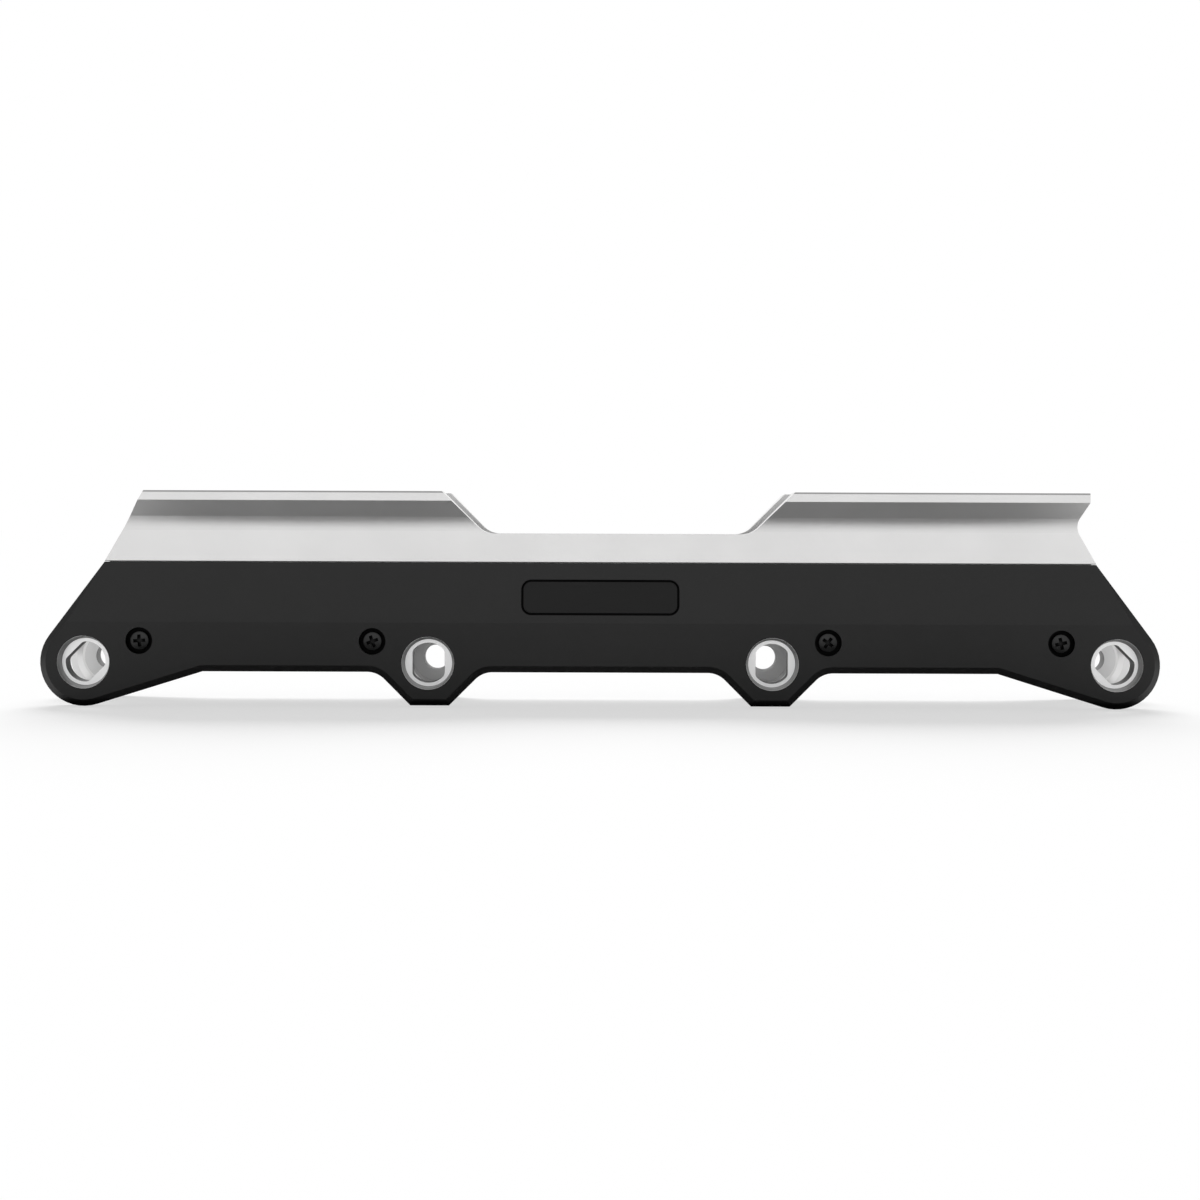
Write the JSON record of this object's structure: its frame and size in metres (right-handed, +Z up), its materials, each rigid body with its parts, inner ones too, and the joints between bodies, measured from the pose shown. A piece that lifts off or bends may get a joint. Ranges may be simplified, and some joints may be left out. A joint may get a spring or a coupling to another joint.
{
  "type": "inline skate frame",
  "caption": "Aluminium inline skate frame with winged toe and heel decks, black plastic side skins held by cross-head screws, and keyed axle bushes.",
  "frame": {"origin": "under the middle of the wheelbase, on the middle plane, at the underside of the end bosses, on which the frame stands", "axes": "+X along the frame from the toe end to the heel end, +Y to the right side, +Z up to the decks"},
  "size_m": [0.2718, 0.047, 0.0524],
  "materials": {
    "chassis": "bead-blasted satin, clear anodised",
    "skin": "matte black moulded plastic",
    "badge": "matte black plate",
    "bush": "turned satin aluminium",
    "screw": "black coated steel"
  },
  "bodies": {
    "frame": {"chassis": "chassis", "left_bush_1": "bush", "left_bush_2": "bush", "left_bush_3": "bush", "left_bush_4": "bush", "right_bush_1": "bush", "right_bush_2": "bush", "right_bush_3": "bush", "right_bush_4": "bush"},
    "left_cover": {"left_skin": "skin", "left_badge": "badge"},
    "left_screw_1": {"left_screw_1": "screw"},
    "left_screw_2": {"left_screw_2": "screw"},
    "left_screw_3": {"left_screw_3": "screw"},
    "left_screw_4": {"left_screw_4": "screw"},
    "right_cover": {"right_skin": "skin", "right_badge": "badge"},
    "right_screw_1": {"right_screw_1": "screw"},
    "right_screw_2": {"right_screw_2": "screw"},
    "right_screw_3": {"right_screw_3": "screw"},
    "right_screw_4": {"right_screw_4": "screw"}
  },
  "joints": [
    {"name": "left_skin_off", "type": "slide", "parent": "frame", "child": "left_cover", "axis": [0, -1, 0], "range_m": [0, 0.025]},
    {"name": "left_screw_1_out", "type": "slide", "parent": "left_cover", "child": "left_screw_1", "axis": [0, -1, 0], "range_m": [0, 0.012]},
    {"name": "left_screw_2_out", "type": "slide", "parent": "left_cover", "child": "left_screw_2", "axis": [0, -1, 0], "range_m": [0, 0.012]},
    {"name": "left_screw_3_out", "type": "slide", "parent": "left_cover", "child": "left_screw_3", "axis": [0, -1, 0], "range_m": [0, 0.012]},
    {"name": "left_screw_4_out", "type": "slide", "parent": "left_cover", "child": "left_screw_4", "axis": [0, -1, 0], "range_m": [0, 0.012]},
    {"name": "right_skin_off", "type": "slide", "parent": "frame", "child": "right_cover", "axis": [0, 1, 0], "range_m": [0, 0.025]},
    {"name": "right_screw_1_out", "type": "slide", "parent": "right_cover", "child": "right_screw_1", "axis": [0, 1, 0], "range_m": [0, 0.012]},
    {"name": "right_screw_2_out", "type": "slide", "parent": "right_cover", "child": "right_screw_2", "axis": [0, 1, 0], "range_m": [0, 0.012]},
    {"name": "right_screw_3_out", "type": "slide", "parent": "right_cover", "child": "right_screw_3", "axis": [0, 1, 0], "range_m": [0, 0.012]},
    {"name": "right_screw_4_out", "type": "slide", "parent": "right_cover", "child": "right_screw_4", "axis": [0, 1, 0], "range_m": [0, 0.012]}
  ]
}
